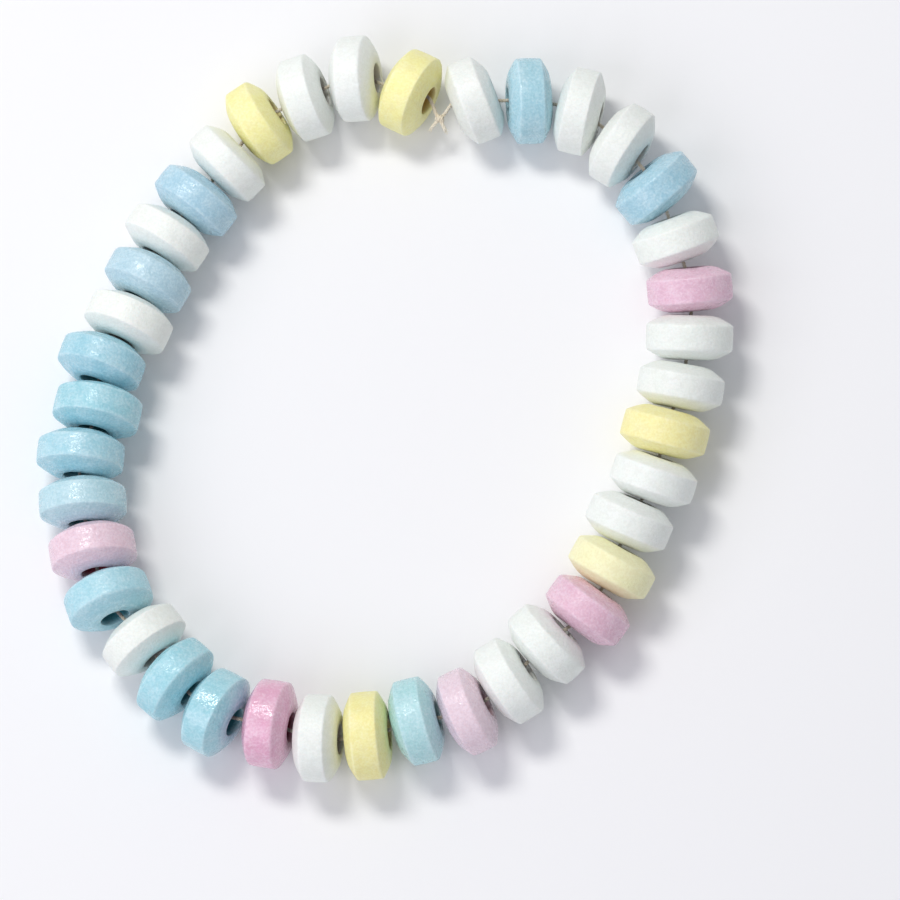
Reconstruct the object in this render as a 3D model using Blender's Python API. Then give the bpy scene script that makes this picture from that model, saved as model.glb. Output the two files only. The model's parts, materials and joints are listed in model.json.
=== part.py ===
"""Candy necklace: pressed sugar beads on a knotted elastic thread, lying in a ring.

Units are metres and +Z is up. The origin is under the middle of the ring, on the surface it lies on.
"""

import bisect
import math
import random

import bmesh
import bpy
from mathutils import Matrix, Vector

MM = 0.001

# A bead is a round band with a cone on each side, running in to a flat ring about the hole
BEAD_RADIUS = 5.5 * MM
BEAD_THICKNESS = 5.5 * MM
BAND_WIDTH = 3.1 * MM
FACE_RADIUS = 3.1 * MM
HOLE_RADIUS = 1.8 * MM
BEAD_SIDES = 24
RADIUS_SPREAD = 0.012
THICKNESS_SPREAD = 0.03
BAND_SPREAD = 0.08
TURN_WOBBLE = math.radians(1.5)
BEAD_EDGE_ANGLE = math.radians(16)
BEAD_GAP = 0.22 * MM
SPACING_ROUNDS = 30
SIZE_SEED = 11

# The elastic thread, its knot and the two cut ends
THREAD_RADIUS = 0.3 * MM
THREAD_POINTS = 74
KNOT_POINTS = 6
KNOT_REACH = 2.2 * MM
KNOT_BOW_WIDTH = 1.1 * MM
KNOT_ROOM = 0.3 * MM
KNOT_INSET = 2.8 * MM
KNOT_RADIUS = 0.7 * MM
KNOT_STRETCH = 1.3
KNOT_ROUNDNESS = 2
THREAD_EDGE_ANGLE = math.radians(50)
TAIL_LENGTH = 2.2 * MM
TAIL_DROP = 0.8 * MM
TAIL_SPREAD = math.radians(34)
TAIL_STEPS = 4

# Plan of the loop in millimetres, clockwise from above and starting at the knot. This is its shape:
# the beads strung round it set its final size, a few per cent larger.
LOOP_PLAN = (
    (6.6, 36.4), (14.6, 37.0), (23.2, 34.8), (30.6, 28.4), (35.0, 18.8), (36.0, 8.0),
    (34.0, -3.0), (30.2, -13.8), (24.8, -23.8), (17.2, -32.4), (7.2, -38.6), (-4.4, -41.0),
    (-16.0, -39.4), (-26.0, -33.2), (-33.0, -23.4), (-36.0, -12.0), (-34.8, -0.6),
    (-31.0, 9.8), (-25.8, 19.8), (-19.4, 29.0), (-11.0, 36.4), (-1.8, 39.0),
)

# Each bead from the knot on: colour, lean forward and turn in degrees, and shift outward in millimetres
BEADS = (
    ("white", -7, 11, -0.2), ("blue", 4, 12, -0.3), ("white", -3, 13, 0.3), ("white", -1, 12, -0.1),
    ("blue", 15, 12, 0.0), ("white", 15, 6, -0.2), ("pink", 16, 2, 0.4), ("white", 14, 3, 0.3),
    ("white", 12, 2, 0.1), ("yellow", 12, 0, -0.4), ("white", 14, 2, 0.1), ("white", 14, 0, -0.6),
    ("yellow", 12, -1, 0.1), ("pink", 10, -1, 0.6), ("white", 13, -2, -0.5), ("white", 13, -3, 0.0),
    ("pink", 13, -2, 0.6), ("blue", 9, -3, -0.5), ("yellow", 6, -1, 0.2), ("white", 9, 1, 0.4),
    ("pink", 11, 2, -0.5), ("blue", 13, 0, 0.6), ("blue", 8, 0, 0.0), ("white", 5, -2, -0.6),
    ("blue", 12, -6, 0.4), ("pink", 9, -6, 0.0), ("blue", 5, -3, 0.1), ("blue", 4, -1, 0.4),
    ("blue", 6, 0, -0.7), ("blue", 5, 0, 0.6), ("white", 4, 1, -0.5), ("blue", 3, 0, -0.3),
    ("white", 0, -1, 0.3), ("blue", -4, -4, -0.2), ("white", -9, -6, -0.4), ("yellow", -14, -10, 0.4),
    ("white", -14, -11, -0.2), ("white", -13, -9, 0.3), ("yellow", -9, -3, -0.2),
)

FINISHES = {
    "white": ("candy_white", (0.88, 0.89, 0.87), 0.50),
    "blue": ("candy_blue", (0.45, 0.72, 0.81), 0.45),
    "pink": ("candy_pink", (0.78, 0.52, 0.66), 0.45),
    "yellow": ("candy_yellow", (0.90, 0.84, 0.42), 0.50),
    "thread": ("elastic_thread", (0.84, 0.78, 0.66), 0.85),
}


def clear_scene():
    for item in list(bpy.data.objects):
        bpy.data.objects.remove(item, do_unlink=True)


def make_material(key, node_name):
    finish_name, colour, roughness = FINISHES[key]
    material = bpy.data.materials.new(f"{finish_name}_{node_name}")
    material.use_nodes = True
    shader = material.node_tree.nodes["Principled BSDF"]
    shader.inputs["Base Color"].default_value = (*colour, 1.0)
    shader.inputs["Roughness"].default_value = roughness
    shader.inputs["Metallic"].default_value = 0.0
    return material


def add_object(name, mesh, parent):
    item = bpy.data.objects.new(name, mesh)
    bpy.context.scene.collection.objects.link(item)
    item.parent = parent
    return item


class Loop:
    """A smooth closed curve through the plan's points, read by the share of the way round."""

    STEPS = 24

    def __init__(self, plan):
        self.points = []
        for index in range(len(plan)):
            near = [Vector(plan[(index + offset) % len(plan)]) for offset in (-1, 0, 1, 2)]
            for step in range(self.STEPS):
                self.points.append(self.blend(near, step / self.STEPS))
        self.lengths = [0.0]
        for here, ahead in zip(self.points, self.points[1:] + self.points[:1]):
            self.lengths.append(self.lengths[-1] + (ahead - here).length)
        self.length = self.lengths[-1]

    @staticmethod
    def blend(near, part):
        """Return the point a part of the way from the second to the third of four points in a row."""
        before, start, end, after = near
        bend = 2 * before - 5 * start + 4 * end - after
        twist = 3 * start - before - 3 * end + after
        return start + 0.5 * part * ((end - before) + part * (bend + part * twist))

    def place(self, share):
        """Return the place in the plan and the heading, as an angle from +X, at a share of the way."""
        distance = (share % 1.0) * self.length
        index = bisect.bisect_right(self.lengths, distance) - 1
        here = self.points[index]
        ahead = self.points[(index + 1) % len(self.points)]
        part = (distance - self.lengths[index]) / (self.lengths[index + 1] - self.lengths[index])
        return here.lerp(ahead, part), self.heading(index, part)

    def heading(self, index, part):
        count = len(self.points)
        early = self.points[(index + 1) % count] - self.points[index - 1]
        late = self.points[(index + 2) % count] - self.points[index]
        direction = early.lerp(late, part)
        return math.atan2(direction.y, direction.x)


class Bead:
    """One pressed bead: its own size, and how it sits on the thread."""

    def __init__(self, name, row, chance):
        self.name = name
        self.colour, lean, turn, shift = row
        self.lean = math.radians(lean)
        self.turn = math.radians(turn) + chance.uniform(-TURN_WOBBLE, TURN_WOBBLE)
        self.shift = shift * MM
        self.radius = BEAD_RADIUS * (1 + chance.uniform(-RADIUS_SPREAD, RADIUS_SPREAD))
        self.thickness = BEAD_THICKNESS * (1 + chance.uniform(-THICKNESS_SPREAD, THICKNESS_SPREAD))
        self.band = BAND_WIDTH * (1 + chance.uniform(-BAND_SPREAD, BAND_SPREAD))
        self.centre = Vector()
        self.axis = Vector((1, 0, 0))

    def rest_height(self):
        """Height of the centre when the lower edge of the leaning band touches the ground."""
        flat_radius = self.radius * math.cos(math.pi / BEAD_SIDES)
        return flat_radius * math.cos(self.lean) + self.band / 2 * abs(math.sin(self.lean))

    def sit(self, place, heading, scale):
        """Stand the bead at a place on the loop, facing along the thread."""
        outward = Vector((-math.sin(heading), math.cos(heading)))
        spot = scale * place + self.shift * outward
        self.centre = Vector((spot.x, spot.y, self.rest_height()))
        facing = heading + self.turn
        level = math.cos(self.lean)
        self.axis = Vector((math.cos(facing) * level, math.sin(facing) * level, -math.sin(self.lean)))

    def rotation(self):
        side = Vector((0, 0, 1)).cross(self.axis).normalized()
        return Matrix((self.axis, side, self.axis.cross(side))).transposed().to_4x4()

    def make_mesh(self):
        """Spin the bead's closed section about its axis, local X, with a flat of the band facing down."""
        half = self.thickness / 2
        section = (
            (-half, HOLE_RADIUS), (-half, FACE_RADIUS), (-self.band / 2, self.radius),
            (self.band / 2, self.radius), (half, FACE_RADIUS), (half, HOLE_RADIUS),
        )
        shape = bmesh.new()
        corners = [shape.verts.new((along, 0, out)) for along, out in section]
        edges = [shape.edges.new(pair) for pair in zip(corners, corners[1:] + corners[:1])]
        half_flat = Matrix.Rotation(math.pi / BEAD_SIDES, 3, "X")
        bmesh.ops.rotate(shape, verts=corners, cent=(0, 0, 0), matrix=half_flat)
        bmesh.ops.spin(
            shape, geom=corners + edges, cent=(0, 0, 0), axis=(1, 0, 0),
            angle=math.tau, steps=BEAD_SIDES, use_merge=True,
        )
        bmesh.ops.recalc_face_normals(shape, faces=shape.faces)
        mesh = bpy.data.meshes.new(self.name)
        shape.to_mesh(mesh)
        shape.free()
        mesh.shade_smooth()
        mesh.set_sharp_from_angle(angle=BEAD_EDGE_ANGLE)
        return mesh


def room_missing(bead, following, travel, room):
    """Return how much further along the thread the following bead has to sit for the given room."""
    between = (bead.axis + following.axis).normalized()
    half_angle = bead.axis.angle(following.axis) / 2
    faces = (bead.thickness + following.thickness) / 2 * math.cos(half_angle)
    faces += 2 * FACE_RADIUS * math.sin(half_angle)
    bands = (bead.band + following.band) / 2 * math.cos(half_angle)
    bands += (bead.radius + following.radius) * math.sin(half_angle)
    reach = max(faces, bands) + room
    return (reach - (following.centre - bead.centre).dot(between)) / travel.dot(between)


def string_beads(loop, beads):
    """Space the beads along the loop, from the knot on, and size the loop to them."""
    count = len(beads)
    pitches = [loop.length * MM / count] * count
    for _ in range(SPACING_ROUNDS):
        strung_length = sum(pitches)
        travelled = pitches[-1] / 2
        shares = []
        for pitch in pitches:
            shares.append(travelled / strung_length)
            travelled += pitch
        for bead, share in zip(beads, shares):
            bead.sit(*loop.place(share), strung_length / loop.length)
        for index, bead in enumerate(beads):
            following = beads[(index + 1) % count]
            room = BEAD_GAP + (KNOT_ROOM if index == count - 1 else 0)
            heading = loop.place(shares[index] + pitches[index] / strung_length / 2)[1]
            travel = Vector((math.cos(heading), math.sin(heading), 0))
            pitches[index] += room_missing(bead, following, travel, room)


def thread_mesh(points, closed):
    """Return a round tube along a row of points, with filled ends where it is open."""
    curve = bpy.data.curves.new("thread", "CURVE")
    curve.dimensions = "3D"
    curve.bevel_depth = THREAD_RADIUS
    curve.bevel_resolution = 2
    curve.use_fill_caps = True
    spline = curve.splines.new("POLY")
    spline.points.add(len(points) - 1)
    for knob, point in zip(spline.points, points):
        knob.co = (*point, 1.0)
    spline.use_cyclic_u = closed
    guide = bpy.data.objects.new("thread", curve)
    bpy.context.scene.collection.objects.link(guide)
    bpy.context.view_layer.update()
    mesh = bpy.data.meshes.new_from_object(guide.evaluated_get(bpy.context.evaluated_depsgraph_get()))
    bpy.data.objects.remove(guide, do_unlink=True)
    return mesh


def thread_point(rope, share, knot_share):
    """Return a point of the thread, which bows inward at the knot."""
    spot, heading = rope.place(share)
    away = ((share - knot_share + 0.5) % 1.0 - 0.5) * rope.length
    bow = KNOT_INSET * math.exp(-(away / KNOT_BOW_WIDTH) ** 2)
    return spot + bow * Vector((math.sin(heading), -math.cos(heading), 0))


def make_thread(beads, parent):
    """Make the closed thread through all the beads, with its knot and cut ends in one solid."""
    rope = Loop([bead.centre for bead in beads])
    last_bead = rope.lengths[(len(beads) - 1) * Loop.STEPS] / rope.length
    knot_share = (last_bead + 1) / 2
    reach = KNOT_REACH / rope.length
    shares = [knot_share + reach + (1 - 2 * reach) * step / THREAD_POINTS for step in range(THREAD_POINTS)]
    shares += [knot_share - reach + 2 * reach * step / KNOT_POINTS for step in range(KNOT_POINTS)]
    route = [thread_point(rope, share, knot_share) for share in shares]
    thread = add_object("elastic_thread", thread_mesh(route, closed=True), parent)

    knot_centre = thread_point(rope, knot_share, knot_share)
    heading = rope.place(knot_share)[1]
    join(thread, [knot_mesh(knot_centre, heading)] + tail_meshes(knot_centre, heading))
    thread.data.shade_smooth()
    thread.data.set_sharp_from_angle(angle=THREAD_EDGE_ANGLE)
    thread.data.materials.clear()
    thread.data.materials.append(make_material("thread", thread.name))
    return thread


def join(item, meshes):
    """Fuse meshes into an object's own mesh, as one closed solid."""
    helpers = bpy.data.collections.new("helpers")
    bpy.context.scene.collection.children.link(helpers)
    for mesh in meshes:
        helpers.objects.link(bpy.data.objects.new("helper", mesh))
    union = item.modifiers.new("union", "BOOLEAN")
    union.operation = "UNION"
    union.operand_type = "COLLECTION"
    union.collection = helpers
    union.solver = "EXACT"
    bpy.context.view_layer.update()
    whole = bpy.data.meshes.new_from_object(item.evaluated_get(bpy.context.evaluated_depsgraph_get()))
    item.modifiers.clear()
    item.data = whole
    for helper in list(helpers.objects):
        bpy.data.objects.remove(helper, do_unlink=True)
    bpy.data.collections.remove(helpers)


def knot_mesh(centre, heading):
    """Return the tied lump, a little longer along the thread than across it."""
    shape = bmesh.new()
    stretch = Matrix.Diagonal((KNOT_STRETCH, 1, 1, 1))
    facing = Matrix.Rotation(heading, 4, "Z")
    placing = Matrix.Translation(centre) @ facing @ stretch
    bmesh.ops.create_icosphere(shape, subdivisions=KNOT_ROUNDNESS, radius=KNOT_RADIUS, matrix=placing)
    mesh = bpy.data.meshes.new("knot")
    shape.to_mesh(mesh)
    shape.free()
    return mesh


def tail_meshes(centre, heading):
    """Return the two cut ends, which run inward from the knot and droop."""
    meshes = []
    for spread in (-TAIL_SPREAD, TAIL_SPREAD):
        inward = heading - math.pi / 2 + spread
        points = []
        for step in range(TAIL_STEPS + 1):
            part = step / TAIL_STEPS
            out = TAIL_LENGTH * part
            drop = TAIL_DROP * part ** 2
            points.append(centre + Vector((out * math.cos(inward), out * math.sin(inward), -drop)))
        meshes.append(thread_mesh(points, closed=False))
    return meshes


def middle_of(items):
    """Return the middle of the box round the objects, in plan."""
    bpy.context.view_layer.update()
    corners = [item.matrix_world @ vertex.co for item in items for vertex in item.data.vertices]
    low = Vector(map(min, zip(*corners)))
    high = Vector(map(max, zip(*corners)))
    return Vector(((low.x + high.x) / 2, (low.y + high.y) / 2, 0))


def main():
    clear_scene()
    necklace = bpy.data.objects.new("necklace", None)
    bpy.context.scene.collection.objects.link(necklace)
    chance = random.Random(SIZE_SEED)
    beads = [Bead(f"bead_{index:02d}", row, chance) for index, row in enumerate(BEADS, start=1)]
    loop = Loop(LOOP_PLAN)
    string_beads(loop, beads)
    items = []
    for bead in beads:
        item = add_object(bead.name, bead.make_mesh(), necklace)
        item.data.materials.append(make_material(bead.colour, bead.name))
        item.matrix_local = Matrix.Translation(bead.centre) @ bead.rotation()
        items.append(item)
    items.append(make_thread(beads, necklace))
    necklace.location = -middle_of(items)
    bpy.context.view_layer.update()


main()
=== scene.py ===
"""Looks of the candy necklace: pressed sugar beads on a knotted elastic thread, lying in a ring.

Everything is in metres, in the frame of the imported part. Patterns are sized in millimetres.
"""

import json
import math
import random

import bmesh
import bpy
import numpy as np
from mathutils import Matrix, Vector, noise


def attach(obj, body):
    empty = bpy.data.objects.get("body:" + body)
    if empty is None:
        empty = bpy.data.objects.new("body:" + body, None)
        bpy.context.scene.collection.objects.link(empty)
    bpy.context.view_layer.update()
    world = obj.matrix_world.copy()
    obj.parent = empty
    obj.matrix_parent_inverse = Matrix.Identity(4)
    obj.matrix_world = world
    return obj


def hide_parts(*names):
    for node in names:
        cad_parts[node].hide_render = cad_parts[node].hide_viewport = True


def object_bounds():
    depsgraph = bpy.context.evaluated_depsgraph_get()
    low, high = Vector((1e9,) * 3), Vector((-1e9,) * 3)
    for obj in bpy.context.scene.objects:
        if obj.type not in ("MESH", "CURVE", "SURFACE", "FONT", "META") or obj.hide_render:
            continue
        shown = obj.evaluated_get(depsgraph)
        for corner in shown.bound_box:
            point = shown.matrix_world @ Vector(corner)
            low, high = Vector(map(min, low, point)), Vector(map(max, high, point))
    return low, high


MM = 0.001

# How finely a bead is made, and how many sides its solid has. Points of the solid that are closer
# than the slack are one point, and those within a share of the largest size lie at that size.
SPIN_STEPS = 104
OUTLINE_STEP = 0.34 * MM
SOLID_SIDES = 24
FLAT_SHARE = math.cos(math.pi / SOLID_SIDES)
SLACK = 0.01 * MM
NEAR_LARGEST = 0.98

# The rounded corners of a pressed bead, of which the band's differ from bead to bead, how far its
# faces bulge, and how far a bead stays inside the width of its solid and stands out past its
# ends, towards the next bead
BAND_CORNER = (0.10 * MM, 0.18 * MM)
FACE_CORNER = 0.50 * MM
RIM_CORNER = 0.20 * MM
CORNER_SEGMENTS = 4
BAND_CROWN = 0.05 * MM
CONE_CROWN = 0.07 * MM
WIDTH_ROOM = 0.02 * MM
END_FILL = 0.07 * MM

# The seed of all that differs from bead to bead, and how far apart their patterns are picked
WEAR_SEED = 5
PATTERN_REACH = 50

# Unevenness left by the press, sizes in millimetres. The sag mostly goes inward.
SAG_SIZE = 4.0
SAG_DEPTH = 0.05 * MM
SAG_INWARD = 0.5
PIT_SIZE = 0.9
PIT_DEPTH = 0.012 * MM

# Chips from knocks: how many a bead has, how wide they are in millimetres, how deep, the share of
# that depth that the shallowest has, how steep their sides are, and how ragged they are
CHIPS = (1, 4)
CHIP_REACH = (0.35, 0.8)
CHIP_DEPTH = 0.14 * MM
CHIP_SHALLOWEST = 0.4
CHIP_STEEPNESS = 2
RAGGED_SIZE = 0.3
RAGGED_MEAN = 0.7
RAGGED_SWING = 0.6

# How far wear reaches from a rim, and how far into the hole the painted shade comes in
RIM_REACH = 0.14 * MM
HOLE_SHADE_REACH = 0.9 * MM

# The elastic thread: three twisted strands through all the beads
STRANDS = 3
STRAND_RADIUS = 0.115 * MM
STRAND_OFFSET = 0.13 * MM
TUBE_RESOLUTION = 2
TWIST_PITCH = 1.3 * MM
TWIST_STEPS = 9
ROUTE_STEPS = 24

# The knot, for which the thread bows into the ring, with its coils and its two cut ends
KNOT_INSET = 2.8 * MM
KNOT_BOW_WIDTH = 1.1 * MM
KNOT_TURNS = 2.5
KNOT_COIL_RADIUS = 0.30 * MM
KNOT_LENGTH = 0.85 * MM
KNOT_STEPS = 60
TAIL_LENGTH = 1.6 * MM
TAIL_DROP = 0.5 * MM
TAIL_SPREAD = math.radians(34)
TAIL_STEPS = 5

# The fibres frayed from each cut end and the fuzz round the knot: how many, how long, how much
# their lengths differ, how far they fan out and curl, and how much they thin towards their ends
FRAY_SEED = 9
FRAY_FIBRES = 26
FRAY_LENGTH = 0.6 * MM
FRAY_RANGE = (0.5, 1.2)
FRAY_SPREAD = 0.45
FUZZ_FIBRES = 60
FUZZ_LENGTH = 0.3 * MM
FUZZ_RANGE = (0.7, 1.2)
FIBRE_RADIUS = 0.018 * MM
FIBRE_STEPS = 5
FIBRE_CURL = 0.35
FIBRE_THINNING = 0.7

# The thread's two creams, its painted shade between the fibres and its painted shade inside the beads,
# with pattern sizes in millimetres. A pattern counts between two values, and four also give its share.
THREAD_COLOURS = ((0.82, 0.74, 0.58), (0.86, 0.82, 0.70))
THREAD_SHADE = (0.55, 0.46, 0.33)
THREAD_INSIDE_SHADE = (0.30, 0.26, 0.24)
INSIDE_SHADE_FADE = 0.3 * MM
THREAD_PATCH_SIZE = 1.5
THREAD_PATCHES = (0.35, 0.65)
THREAD_FIBRE_SIZE = 0.12
THREAD_GROOVES = (0.3, 0.7, 0.35, 0.0)
THREAD_BUMP_DEPTH = 0.03 * MM
THREAD_ROUGHNESS = 0.85
THREAD_SHEEN = 0.3

# The camera looks down on the ring from its near side
VIEW_ELEVATION = math.radians(78)
VIEW_DISTANCE = 0.62
PICTURE_SIZE = 900
PIXELS_PER_MM = 8.0
RING_CENTRE_PIXEL = (386, 404)
SENSOR_WIDTH = 36.0
CLIP_RANGE = (0.01, 10)

# A wide, low softbox above the far left, a dim square one at the near left, and a pale studio
# all round. Sizes are across and upward.
KEY_PLACE = (-0.20, 0.268, 0.576)
KEY_SIZE = (0.22, 0.12)
KEY_POWER = 2.15
KEY_COLOUR = (1.0, 0.985, 0.95)
FILL_PLACE = (-0.50, -0.40, 0.55)
FILL_SIZE = (0.6, 0.6)
FILL_POWER = 2.4
FILL_COLOUR = (0.93, 0.90, 1.0)
STUDIO_COLOUR = (0.92, 0.935, 1.0)
STUDIO_STRENGTH = 0.47
FLOOR_COLOUR = (0.90, 0.905, 0.91)
FLOOR_ROUGHNESS = 0.9
FLOOR_REACH = 2.0

# Colour, painted shade deep in the hole, also the colour of dull specks, powdery colour of worn rims
# and specks, roughness, and how much of its full gloss the skin has, which is most where the sugar is
# dyed
SUGARS = {
    "candy_white": ((0.865, 0.91, 0.855), (0.50, 0.46, 0.42), (0.91, 0.92, 0.90), 0.50, 0.12),
    "candy_blue": ((0.385, 0.65, 0.755), (0.05, 0.24, 0.30), (0.68, 0.84, 0.89), 0.52, 1.0),
    "candy_pink": ((0.795, 0.535, 0.655), (0.33, 0.06, 0.09), (0.88, 0.73, 0.80), 0.52, 1.0),
    "candy_yellow": ((0.935, 0.88, 0.40), (0.52, 0.34, 0.08), (0.94, 0.92, 0.64), 0.50, 0.15),
}

# Shifts of hue, saturation and lightness: how far beads differ by chance, and the odd ones out
TONE_SPREAD = (0.008, 0.06, 0.02)
ODD_TONES = {
    "bead_13": (0.008, -0.30, 0.0), "bead_14": (0.006, 0.05, 0.0), "bead_17": (-0.006, -0.45, 0.04),
    "bead_18": (-0.038, -0.18, 0.0), "bead_21": (0.005, 0.40, 0.0), "bead_22": (-0.014, 0.05, 0.0),
    "bead_23": (-0.014, 0.08, 0.01), "bead_25": (-0.010, 0.0, 0.01), "bead_26": (0.0, -0.28, 0.02),
    "bead_27": (-0.010, -0.20, 0.0), "bead_29": (-0.012, 0.10, -0.03), "bead_32": (0.005, -0.20, 0.0),
    "bead_34": (0.010, -0.08, 0.01),
}

# How glossy a bead is, from 0 to 1: the range of most beads, and the beads at 1. Gloss widens the
# patches of smooth skin by up to the reach, and makes them shine more than the least shine.
GLOSS_RANGE = (0.0, 0.30)
GLOSSY_BEADS = ("bead_21", "bead_22")
GLOSS_REACH = 0.32
LEAST_SHINE = 0.68

# Pattern sizes on the pressed sugar, in millimetres. The patches of skin are stretched round the
# bead.
CLOUD_SIZE = 2.4
GRAIN_SIZE = 0.30
DUST_SIZE = 0.9
SKIN_SIZE = 1.5
SKIN_STRETCH = 3.0
LUMP_SIZE = 0.45
FINE_SIZE = 0.20

# The two values of a pattern between which its effect changes, and the effect at each
CLOUD_POWDER = (0.35, 0.7, 0.0, 0.28)
GRAIN_POWDER = (0.45, 0.72, 0.0, 0.28)
DULL_SPECKS = (0.17, 0.30, 0.10, 0.0)
RIM_POWDER = (0.38, 0.62, 0.08, 0.45)
ROUGHNESS_SPREAD = (0.3, 0.7, -0.10, 0.10)
SKIN_EDGE = (0.54, 0.60)

# What wear adds to the roughness, and the roughness of full skin
WORN_ROUGHNESS = 0.15
SKIN_ROUGHNESS = 0.10

# The fine relief: its depth, and the shares that lumps and fine grit have in it on most beads and
# on a glossy one, with the range of gloss between the two
BUMP_DEPTH = 0.085 * MM
LUMP_SHARES = (1.0, 1.2)
FINE_SHARES = (0.30, 0.06)
GLOSSY_RANGE = (0.5, 1.0)

# How much light spreads inside the sugar, how far, and the shares of red, green and blue in that
SCATTER_WEIGHT = 0.15
SCATTER_DEPTH = 0.5 * MM
SCATTER_SHARES = (1.0, 0.8, 0.7)

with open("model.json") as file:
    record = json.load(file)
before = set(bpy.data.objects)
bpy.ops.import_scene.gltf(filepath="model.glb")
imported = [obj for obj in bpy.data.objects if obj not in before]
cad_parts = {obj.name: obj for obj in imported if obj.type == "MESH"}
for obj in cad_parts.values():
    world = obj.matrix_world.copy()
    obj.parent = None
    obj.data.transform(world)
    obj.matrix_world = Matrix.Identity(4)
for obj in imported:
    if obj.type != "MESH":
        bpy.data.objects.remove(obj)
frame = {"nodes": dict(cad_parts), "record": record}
cad_low, cad_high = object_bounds()


def link(name, data):
    """Put an object with this data in the scene."""
    item = bpy.data.objects.new(name, data)
    bpy.context.scene.collection.objects.link(item)
    return item


def keep_shape(name, shape):
    """Make a finished shape an object of the scene."""
    mesh = bpy.data.meshes.new(name)
    shape.to_mesh(mesh)
    shape.free()
    return link(name, mesh)


def random_vector(chance, reach):
    """Return a vector with each part drawn from minus the reach to the reach."""
    return Vector([chance.uniform(-reach, reach) for _ in range(3)])


class Bead:
    """A bead's place and sizes, measured on its solid."""

    def __init__(self, name):
        self.name = name
        solid = bmesh.new()
        solid.from_mesh(frame["nodes"][name].data)
        bmesh.ops.remove_doubles(solid, verts=solid.verts, dist=SLACK)
        points = np.array([vert.co for vert in solid.verts])
        solid.free()
        centre = points.mean(axis=0)
        offsets = points - centre
        axis = np.linalg.eigh(offsets.T @ offsets)[1][:, 0]
        along = np.abs(offsets @ axis)
        out = np.linalg.norm(offsets - np.outer(offsets @ axis, axis), axis=1)
        self.centre = Vector(centre)
        self.axis = Vector(axis)
        self.half = float(along.max()) + END_FILL
        self.hole = float(out.min())
        self.radius = float(out.max()) * FLAT_SHARE - BAND_CROWN - WIDTH_ROOM
        self.band = float(along[out > NEAR_LARGEST * out.max()].max())
        self.face = float(out[along > NEAR_LARGEST * along.max()].max())

    def placing(self):
        """Return the matrix that takes the bead from local X to its place on the thread."""
        side = Vector((0, 0, 1)).cross(self.axis).normalized()
        turn = Matrix((self.axis, side, self.axis.cross(side))).transposed().to_4x4()
        return Matrix.Translation(self.centre) @ turn


def read_beads():
    """Return the beads in order round the ring, with every axis pointing to the next bead."""
    names = sorted(name for name in frame["nodes"] if name.startswith("bead_"))
    beads = [Bead(name) for name in names]
    for index, bead in enumerate(beads):
        ahead = beads[(index + 1) % len(beads)].centre - beads[index - 1].centre
        if bead.axis.dot(ahead) < 0:
            bead.axis = -bead.axis
    return beads


def round_corners(shape, corners, size):
    """Round corners of the outline to arcs."""
    bmesh.ops.bevel(
        shape, geom=corners, affect="VERTICES", offset=size, offset_type="OFFSET",
        segments=CORNER_SEGMENTS, profile=0.5, material=-1,
    )


def crown(shape, start, end, height):
    """Bulge a straight run of the outline outward, most in its middle."""
    run = end - start
    outward = Vector((-run.z, 0, run.x)).normalized()
    for vert in shape.verts:
        share = (vert.co - start).dot(run) / run.length_squared
        off_line = abs((vert.co - start).dot(outward))
        if 0 < share < 1 and off_line < SLACK:
            vert.co += 4 * share * (1 - share) * height * outward


def draw_outline(shape, bead, band_corner):
    """Draw the outline of half a lengthwise cut of the bead, with round corners and fine steps."""
    places = (
        (-bead.half, bead.hole), (-bead.half, bead.face), (-bead.band, bead.radius),
        (bead.band, bead.radius), (bead.half, bead.face), (bead.half, bead.hole),
    )
    corners = [shape.verts.new((along, 0, out)) for along, out in places]
    spots = [corner.co.copy() for corner in corners]
    shape.faces.new(corners)
    round_corners(shape, [corners[2], corners[3]], band_corner)
    round_corners(shape, [corners[1], corners[4]], FACE_CORNER)
    round_corners(shape, [corners[0], corners[5]], RIM_CORNER)
    for edge in list(shape.edges):
        cuts = int(edge.calc_length() / OUTLINE_STEP)
        if cuts:
            bmesh.ops.subdivide_edges(shape, edges=[edge], cuts=cuts)
    bmesh.ops.delete(shape, geom=list(shape.faces), context="FACES_ONLY")
    crown(shape, spots[1], spots[2], CONE_CROWN)
    crown(shape, spots[2], spots[3], BAND_CROWN)
    crown(shape, spots[3], spots[4], CONE_CROWN)


def mark_wear_and_hole_shade(shape, bead, chance):
    """Record worn rims, the hole's inside for painted shade, and places for streaks that run round the
    bead.
    """
    rim = shape.verts.layers.float.new("rim")
    bore = shape.verts.layers.float.new("bore")
    streak = shape.verts.layers.float_vector.new("streak")
    shift = random_vector(chance, PATTERN_REACH)
    rims = ((bead.band, bead.radius), (bead.half, bead.face), (bead.half, bead.hole))
    for vert in shape.verts:
        along = abs(vert.co.x)
        out = math.hypot(vert.co.y, vert.co.z)
        nearest = min(math.hypot(along - x, out - y) for x, y in rims)
        vert[rim] = math.exp(-(nearest / RIM_REACH) ** 2)
        # The mask of painted shade inside the hole, full from the reach inward from each end
        depth = min(max((bead.half - along) / HOLE_SHADE_REACH, 0), 1)
        inside = min(max((bead.hole + RIM_CORNER - out) / RIM_CORNER, 0), 1)
        vert[bore] = depth * inside
        vert[streak] = Vector((SKIN_STRETCH * vert.co.x, vert.co.y, vert.co.z)) / MM + shift


def press_unevenly(shape, chance):
    """Give the surface the press's slight unevenness, different on every bead."""
    place = random_vector(chance, PATTERN_REACH)
    shape.normal_update()
    for vert in shape.verts:
        spot = vert.co / MM
        sag = noise.noise(spot / SAG_SIZE + place)
        pits = noise.noise(spot / PIT_SIZE + place)
        vert.co += (SAG_DEPTH * (sag - SAG_INWARD) + PIT_DEPTH * pits) * vert.normal


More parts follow.
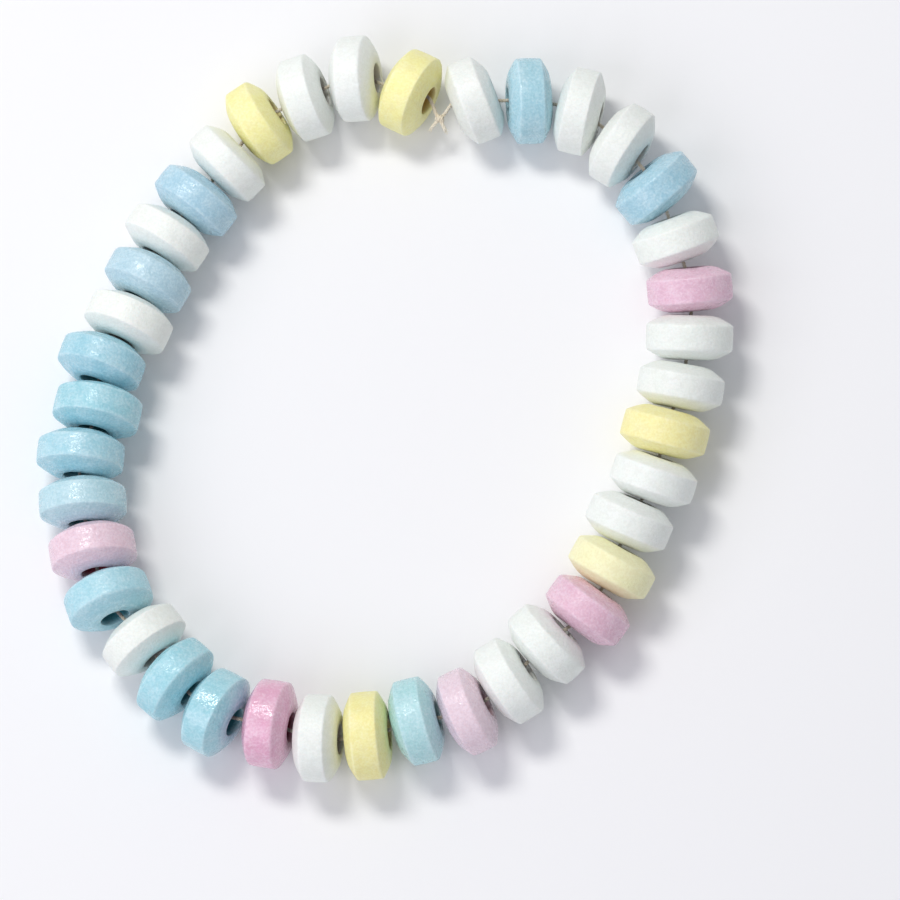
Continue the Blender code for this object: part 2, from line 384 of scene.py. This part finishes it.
def knock_chips(shape, bead, chance):
    """Knock small chips out of the band's two corners and one rim of the hole."""
    circles = ((bead.band, bead.radius), (-bead.band, bead.radius), (bead.half, bead.hole))
    for _ in range(chance.randint(*CHIPS)):
        along, out = chance.choice(circles)
        angle = chance.uniform(0, math.tau)
        spot = Vector((along, out * math.cos(angle), out * math.sin(angle)))
        reach = chance.uniform(*CHIP_REACH) * MM
        depth = CHIP_DEPTH * chance.uniform(CHIP_SHALLOWEST, 1.0)
        for vert in shape.verts:
            near = 1 - (vert.co - spot).length / reach
            if near > 0:
                ragged = RAGGED_MEAN + RAGGED_SWING * noise.noise(vert.co / (RAGGED_SIZE * MM))
                vert.co -= depth * min(CHIP_STEEPNESS * near, 1) * ragged * vert.normal


def make_candy(bead, chance):
    """Make one pressed bead in place of its plain solid."""
    shape = bmesh.new()
    draw_outline(shape, bead, chance.uniform(*BAND_CORNER))
    bmesh.ops.spin(
        shape, geom=list(shape.verts) + list(shape.edges), cent=(0, 0, 0), axis=(1, 0, 0),
        angle=math.tau, steps=SPIN_STEPS, use_merge=True,
    )
    bmesh.ops.recalc_face_normals(shape, faces=shape.faces)
    mark_wear_and_hole_shade(shape, bead, chance)
    press_unevenly(shape, chance)
    knock_chips(shape, bead, chance)
    bmesh.ops.transform(shape, matrix=bead.placing(), verts=shape.verts)
    candy = keep_shape(bead.name.replace("bead", "candy"), shape)
    candy.data.shade_smooth()
    return candy


def ring_point(beads, place):
    """Return a point of the thread, which bows inward at the knot. Whole places are bead centres."""
    count = len(beads)
    index = math.floor(place)
    part = place - index
    before, start, end, after = (beads[(index + step) % count].centre for step in (-1, 0, 1, 2))
    bend = 2 * before - 5 * start + 4 * end - after
    twist = 3 * start - before - 3 * end + after
    spot = start + 0.5 * part * ((end - before) + part * (bend + part * twist))
    knot_span = beads[0].centre - beads[-1].centre
    inward = Vector((knot_span.y, -knot_span.x, 0)).normalized()
    beads_away = (place + 0.5 + count / 2) % count - count / 2
    away = beads_away * knot_span.length
    return spot + KNOT_INSET * math.exp(-(away / KNOT_BOW_WIDTH) ** 2) * inward


def resample(points, step):
    """Return points an even step apart along a row of points."""
    rough = np.array(points)
    lengths = np.concatenate(([0], np.cumsum(np.linalg.norm(np.diff(rough, axis=0), axis=1))))
    even = np.linspace(0, lengths[-1], max(3, int(lengths[-1] / step) + 1))
    return [Vector([np.interp(at, lengths, rough[:, axis]) for axis in range(3)]) for at in even]


def twisted_strands(points):
    """Return the centre lines of the strands twisted round a row of points."""
    step = TWIST_PITCH / TWIST_STEPS
    middle = resample(points, step)
    lines = [[] for _ in range(STRANDS)]
    side = Vector((0, 0, 1))
    for index, spot in enumerate(middle):
        ahead = middle[min(index + 1, len(middle) - 1)] - middle[max(index - 1, 0)]
        ahead.normalize()
        side = (side - side.dot(ahead) * ahead).normalized()
        across = ahead.cross(side)
        for strand, line in enumerate(lines):
            angle = math.tau * (index / TWIST_STEPS + strand / STRANDS)
            line.append(spot + STRAND_OFFSET * (math.cos(angle) * side + math.sin(angle) * across))
    return lines


def tubes(lines, radius, taper=False):
    """Return a mesh of round tubes along rows of points, thinning to their far ends if asked."""
    curve = bpy.data.curves.new("tubes", "CURVE")
    curve.dimensions = "3D"
    curve.bevel_depth = radius
    curve.bevel_resolution = TUBE_RESOLUTION
    curve.use_fill_caps = True
    for line in lines:
        spline = curve.splines.new("POLY")
        spline.points.add(len(line) - 1)
        for index, (knob, point) in enumerate(zip(spline.points, line)):
            knob.co = (*point, 1.0)
            knob.radius = 1 - FIBRE_THINNING * index / (len(line) - 1) if taper else 1
    guide = link("tubes", curve)
    bpy.context.view_layer.update()
    drawn = guide.evaluated_get(bpy.context.evaluated_depsgraph_get())
    mesh = bpy.data.meshes.new_from_object(drawn)
    bpy.data.objects.remove(guide, do_unlink=True)
    return mesh


def knot_lines(knot, ahead):
    """Return the knot's coil and its two cut ends, each as a row of points."""
    inward = Vector((ahead.y, -ahead.x, 0)).normalized()
    up = Vector((0, 0, 1))
    coil = []
    for step in range(KNOT_STEPS + 1):
        share = step / KNOT_STEPS
        angle = math.tau * KNOT_TURNS * share
        ring = KNOT_COIL_RADIUS * (math.cos(angle) * up + math.sin(angle) * inward)
        coil.append(knot + (share - 0.5) * KNOT_LENGTH * ahead + ring)
    tails = []
    for spread in (-TAIL_SPREAD, TAIL_SPREAD):
        out = inward * math.cos(spread) + ahead * math.sin(spread)
        tail = []
        for step in range(TAIL_STEPS + 1):
            part = step / TAIL_STEPS
            tail.append(knot + TAIL_LENGTH * part * out - TAIL_DROP * part ** 2 * up)
        tails.append(tail)
    return coil, tails


def fibre(start, direction, length, chance):
    """Return a short curling fibre as a row of points."""
    line = [start]
    heading = direction.normalized()
    for _ in range(FIBRE_STEPS):
        heading = (heading + FIBRE_CURL * random_vector(chance, 1)).normalized()
        line.append(line[-1] + length / FIBRE_STEPS * heading)
    return line


def loose_fibres(coil, tails):
    """Return the fibres frayed from the cut ends and the fuzz round the knot, as rows of points."""
    chance = random.Random(FRAY_SEED)
    fibres = []
    for tail in tails:
        out = (tail[-1] - tail[-2]).normalized()
        for _ in range(FRAY_FIBRES):
            spot = tail[-1] + STRAND_OFFSET * random_vector(chance, 1)
            fan = out + FRAY_SPREAD * random_vector(chance, 1)
            fibres.append(fibre(spot, fan, FRAY_LENGTH * chance.uniform(*FRAY_RANGE), chance))
    for _ in range(FUZZ_FIBRES):
        spot = chance.choice(chance.choice([coil] + tails))
        fan = random_vector(chance, 1)
        length = (STRAND_OFFSET + FUZZ_LENGTH) * chance.uniform(*FUZZ_RANGE)
        fibres.append(fibre(spot, fan, length, chance))
    return fibres


def mark_inside_shade(shape, beads):
    """Record where the thread is inside a bead, where shade is painted on it."""
    stained = shape.verts.layers.float.new("stained")
    for vert in shape.verts:
        bead = min(beads, key=lambda near: (near.centre - vert.co).length_squared)
        offset = vert.co - bead.centre
        along = abs(offset.dot(bead.axis))
        if offset.length_squared - along ** 2 < bead.hole ** 2:
            vert[stained] = min(max((bead.half - along) / INSIDE_SHADE_FADE, 0), 1)


def make_elastic(beads):
    """Make the twisted thread through all the beads, its knot, and two frayed ends."""
    count = len(beads)
    knot_place = count - 0.5
    samples = ROUTE_STEPS * count
    route = [ring_point(beads, knot_place + count * step / samples) for step in range(samples + 1)]
    ahead = (beads[0].centre - beads[-1].centre).normalized()
    coil, tails = knot_lines(route[0], ahead)
    strands = []
    for line in [route, coil] + tails:
        strands += twisted_strands(line)

    shape = bmesh.new()
    shape.from_mesh(tubes(strands, STRAND_RADIUS))
    shape.from_mesh(tubes(loose_fibres(coil, tails), FIBRE_RADIUS, taper=True))
    mark_inside_shade(shape, beads)
    elastic = keep_shape("elastic", shape)
    elastic.data.shade_smooth()
    return elastic


def add_node(tree, kind, inputs=(), **settings):
    """Add a node to a tree; each input is a value or the output that feeds it."""
    made = tree.nodes.new(kind)
    for name, value in settings.items():
        setattr(made, name, value)
    for name, value in dict(inputs).items():
        if isinstance(value, bpy.types.NodeSocket):
            tree.links.new(value, made.inputs[name])
        else:
            made.inputs[name].default_value = value
    return made


def blend_colours(tree, share, first, second):
    """Mix two colours by a share, and return the mixed colour."""
    # Inputs 6 and 7 and output 2 are the colours of a node that can also mix values and vectors
    mix = add_node(tree, "ShaderNodeMix", {"Factor": share, 6: first, 7: second}, data_type="RGBA")
    return mix.outputs[2]


def combine(tree, operation, first, second=0.0, third=0.0):
    """Do a sum on values, and return the result."""
    made = add_node(tree, "ShaderNodeMath", {0: first, 1: second, 2: third}, operation=operation)
    return made.outputs[0]


def ramp_value(tree, value, low, high, start=0.0, end=1.0):
    """Stretch a value between two limits to a new range, smoothly and clamped."""
    made = add_node(
        tree, "ShaderNodeMapRange",
        {"Value": value, "From Min": low, "From Max": high, "To Min": start, "To Max": end},
        interpolation_type="SMOOTHSTEP",
    )
    return made.outputs["Result"]


def recorded(tree, name, output="Fac"):
    """Return what a piece records at its points under a name."""
    return add_node(tree, "ShaderNodeAttribute", attribute_name=name).outputs[output]


def millimetres(tree):
    """Return the place on the object in millimetres."""
    place = add_node(tree, "ShaderNodeTexCoord")
    return add_node(
        tree, "ShaderNodeVectorMath", {0: place.outputs["Object"], "Scale": 1 / MM}, operation="SCALE",
    ).outputs[0]


def noise_value(tree, place, size, detail=2.0, roughness=0.5):
    """Return cloudy noise whose features have a size in millimetres."""
    inputs = {"Vector": place, "Scale": 1 / size, "Detail": detail, "Roughness": roughness}
    return add_node(tree, "ShaderNodeTexNoise", inputs).outputs["Fac"]


def new_group(name, inputs, outputs):
    """Start a shader node group with named sockets, and return it with its two end nodes."""
    group = bpy.data.node_groups.new(name, "ShaderNodeTree")
    for socket_name, kind in inputs:
        group.interface.new_socket(socket_name, in_out="INPUT", socket_type=kind)
    for socket_name, kind in outputs:
        group.interface.new_socket(socket_name, in_out="OUTPUT", socket_type=kind)
    return group, group.nodes.new("NodeGroupInput"), group.nodes.new("NodeGroupOutput")


def new_material(name):
    """Start a material, and return it with its node tree and its shader."""
    material = bpy.data.materials.new(name)
    material.use_nodes = True
    return material, material.node_tree, material.node_tree.nodes["Principled BSDF"]


def pressed_sugar_group():
    """The surface of pressed sugar: mottled, powdery at worn rims, with painted shade in the hole, with
    skin.
    """
    group, given, result = new_group(
        "pressed_sugar",
        [("Colour", "NodeSocketColor"), ("Deep", "NodeSocketColor"), ("Powder", "NodeSocketColor"),
         ("Roughness", "NodeSocketFloat"), ("Skin", "NodeSocketFloat")],
        [("Colour", "NodeSocketColor"), ("Roughness", "NodeSocketFloat"), ("Height", "NodeSocketFloat")],
    )
    place = millimetres(group)
    hole_shade_and_specks = given.outputs["Deep"]
    powder = given.outputs["Powder"]
    shift = add_node(group, "ShaderNodeSeparateXYZ", {0: recorded(group, "tone", "Vector")})
    toned = add_node(
        group, "ShaderNodeHueSaturation",
        {"Color": given.outputs["Colour"],
         "Hue": combine(group, "ADD", shift.outputs[0], 0.5),
         "Saturation": combine(group, "ADD", shift.outputs[1], 1.0),
         "Value": combine(group, "ADD", shift.outputs[2], 1.0)},
    ).outputs["Color"]

    clouds = noise_value(group, place, CLOUD_SIZE, detail=3.0, roughness=0.6)
    grains = noise_value(group, place, GRAIN_SIZE, detail=2.0, roughness=0.6)
    dust = noise_value(group, place, DUST_SIZE, detail=4.0, roughness=0.7)
    pale = combine(
        group, "ADD", ramp_value(group, clouds, *CLOUD_POWDER), ramp_value(group, grains, *GRAIN_POWDER),
    )
    mottled = blend_colours(group, pale, toned, powder)
    dull = ramp_value(group, combine(group, "MULTIPLY", dust, grains), *DULL_SPECKS)
    # Dull specks take the same dark colour that paints the shade in the hole
    mottled = blend_colours(group, dull, mottled, hole_shade_and_specks)
    worn = combine(group, "MULTIPLY", recorded(group, "rim"), ramp_value(group, dust, *RIM_POWDER))
    rimmed = blend_colours(group, worn, mottled, powder)
    # Painted shade: the inside of the hole takes a dark, saturated colour
    hole_shaded = blend_colours(group, recorded(group, "bore"), rimmed, hole_shade_and_specks)
    group.links.new(hole_shaded, result.inputs["Colour"])

    gloss = recorded(group, "gloss")
    patches = noise_value(group, recorded(group, "streak", "Vector"), SKIN_SIZE)
    skin = ramp_value(group, combine(group, "MULTIPLY_ADD", gloss, GLOSS_REACH, patches), *SKIN_EDGE)
    shine = ramp_value(group, gloss, 0.0, 1.0, LEAST_SHINE, 1.0)
    smooth = combine(group, "MULTIPLY", combine(group, "MULTIPLY", skin, shine), given.outputs["Skin"])
    uneven = ramp_value(group, dust, *ROUGHNESS_SPREAD)
    rough = combine(group, "ADD", given.outputs["Roughness"], uneven)
    rough = combine(group, "MULTIPLY_ADD", worn, WORN_ROUGHNESS, rough)
    down_to_skin = combine(group, "SUBTRACT", SKIN_ROUGHNESS, rough)
    group.links.new(
        combine(group, "MULTIPLY_ADD", smooth, down_to_skin, rough), result.inputs["Roughness"],
    )

    lumps = noise_value(group, place, LUMP_SIZE, detail=2.0, roughness=0.55)
    grit = noise_value(group, place, FINE_SIZE, detail=1.0)
    grit = combine(group, "MULTIPLY", grit, ramp_value(group, gloss, *GLOSSY_RANGE, *FINE_SHARES))
    lump_share = ramp_value(group, gloss, *GLOSSY_RANGE, *LUMP_SHARES)
    group.links.new(combine(group, "MULTIPLY_ADD", lumps, lump_share, grit), result.inputs["Height"])
    return group


def sugar_material(name, sugar):
    """Make one colour of pressed sugar."""
    colour, hole_shade_and_specks, powder, roughness, skin = SUGARS[name]
    material, tree, shader = new_material(name)
    surface = add_node(
        tree, "ShaderNodeGroup",
        {"Colour": (*colour, 1), "Deep": (*hole_shade_and_specks, 1), "Powder": (*powder, 1),
         "Roughness": roughness, "Skin": skin},
        node_tree=sugar,
    )
    bump = add_node(
        tree, "ShaderNodeBump", {"Height": surface.outputs["Height"], "Distance": BUMP_DEPTH},
    )
    tree.links.new(surface.outputs["Colour"], shader.inputs["Base Color"])
    tree.links.new(surface.outputs["Roughness"], shader.inputs["Roughness"])
    tree.links.new(bump.outputs["Normal"], shader.inputs["Normal"])
    shader.inputs["Subsurface Weight"].default_value = SCATTER_WEIGHT
    shader.inputs["Subsurface Scale"].default_value = SCATTER_DEPTH
    shader.inputs["Subsurface Radius"].default_value = SCATTER_SHARES
    return material


def thread_material():
    """Make the cream wrapped thread, soft and uneven, with painted shade where it runs inside the beads.
    """
    material, tree, shader = new_material("elastic_thread")
    place = millimetres(tree)
    fibres = noise_value(tree, place, THREAD_FIBRE_SIZE, detail=3.0)
    patches = ramp_value(tree, noise_value(tree, place, THREAD_PATCH_SIZE), *THREAD_PATCHES)
    cream = blend_colours(tree, patches, *[(*colour, 1) for colour in THREAD_COLOURS])
    grooves = ramp_value(tree, fibres, *THREAD_GROOVES)
    shaded = blend_colours(tree, grooves, cream, (*THREAD_SHADE, 1))
    # Painted shade on the thread where it runs inside the beads
    tinted = blend_colours(tree, recorded(tree, "stained"), shaded, (*THREAD_INSIDE_SHADE, 1))
    bump = add_node(tree, "ShaderNodeBump", {"Height": fibres, "Distance": THREAD_BUMP_DEPTH})
    tree.links.new(tinted, shader.inputs["Base Color"])
    tree.links.new(bump.outputs["Normal"], shader.inputs["Normal"])
    shader.inputs["Roughness"].default_value = THREAD_ROUGHNESS
    shader.inputs["Sheen Weight"].default_value = THREAD_SHEEN
    return material


def record_tone(mesh, tone, gloss):
    """Record the bead's own shift of hue, saturation and lightness, and how glossy it is."""
    tones = mesh.attributes.new("tone", "FLOAT_VECTOR", "POINT")
    tones.data.foreach_set("vector", list(tone) * len(mesh.vertices))
    glosses = mesh.attributes.new("gloss", "FLOAT", "POINT")
    glosses.data.foreach_set("value", [gloss] * len(mesh.vertices))


def dress_necklace():
    """Make every bead and the thread, and give them their finishes."""
    slots = {row["node"]: row["material_slot"] for row in frame["record"]["subparts"]}
    sugar = pressed_sugar_group()
    finishes = {name: sugar_material(name, sugar) for name in SUGARS}
    chance = random.Random(WEAR_SEED)
    beads = read_beads()
    for bead in beads:
        candy = make_candy(bead, chance)
        slot = slots[bead.name]
        tone = [chance.uniform(-spread, spread) for spread in TONE_SPREAD]
        gloss = 1 if bead.name in GLOSSY_BEADS else chance.uniform(*GLOSS_RANGE)
        record_tone(candy.data, ODD_TONES.get(bead.name, tone), gloss)
        candy.data.materials.append(finishes[slot])
        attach(candy, "root")
        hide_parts(bead.name)
    elastic = make_elastic(beads)
    elastic.data.materials.append(thread_material())
    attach(elastic, "root")
    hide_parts("elastic_thread")


def make_floor():
    """Lay a plain pale floor under the necklace."""
    shape = bmesh.new()
    bmesh.ops.create_grid(shape, x_segments=1, y_segments=1, size=FLOOR_REACH)
    floor = keep_shape("floor", shape)
    material, _, shader = new_material("floor")
    shader.inputs["Base Color"].default_value = (*FLOOR_COLOUR, 1)
    shader.inputs["Roughness"].default_value = FLOOR_ROUGHNESS
    floor.data.materials.append(material)


def add_softbox(name, place, size, power, colour):
    """Hang a softbox at a place, level from left to right, facing the middle of the ring."""
    light = bpy.data.lights.new(name, "AREA")
    light.shape = "RECTANGLE"
    light.size, light.size_y = size
    light.energy = power
    light.color = colour
    back = Vector(place).normalized()
    across = (Vector((1, 0, 0)) - back.x * back).normalized()
    lamp = link(name, light)
    lamp.location = place
    lamp.rotation_euler = Matrix((across, back.cross(across), back)).transposed().to_euler()


def light_studio():
    """Light the necklace softly from all round, and hang the two softboxes."""
    world = bpy.data.worlds.new("studio")
    world.use_nodes = True
    background = world.node_tree.nodes["Background"]
    background.inputs["Color"].default_value = (*STUDIO_COLOUR, 1)
    background.inputs["Strength"].default_value = STUDIO_STRENGTH
    bpy.context.scene.world = world
    add_softbox("key", KEY_PLACE, KEY_SIZE, KEY_POWER, KEY_COLOUR)
    add_softbox("fill", FILL_PLACE, FILL_SIZE, FILL_POWER, FILL_COLOUR)


def aim_camera():
    """Look down on the ring from its near side, with the ring where the photograph has it."""
    toward_eye = Vector((0, -math.cos(VIEW_ELEVATION), math.sin(VIEW_ELEVATION)))
    right = Vector((1, 0, 0))
    up = toward_eye.cross(right)
    ring_centre = (cad_low + cad_high) / 2
    across = (PICTURE_SIZE / 2 - RING_CENTRE_PIXEL[0]) / PIXELS_PER_MM * MM
    down = (PICTURE_SIZE / 2 - RING_CENTRE_PIXEL[1]) / PIXELS_PER_MM * MM
    target = ring_centre + across * right - down * up
    data = bpy.data.cameras.new("camera")
    data.sensor_width = SENSOR_WIDTH
    data.lens = PIXELS_PER_MM / MM * VIEW_DISTANCE * SENSOR_WIDTH / PICTURE_SIZE
    data.clip_start, data.clip_end = CLIP_RANGE
    camera = link("camera", data)
    camera.location = target + VIEW_DISTANCE * toward_eye
    camera.rotation_euler = (-toward_eye).to_track_quat("-Z", "Y").to_euler()
    bpy.context.scene.camera = camera


dress_necklace()
make_floor()
light_studio()
aim_camera()
bpy.context.scene.view_settings.view_transform = "Standard"
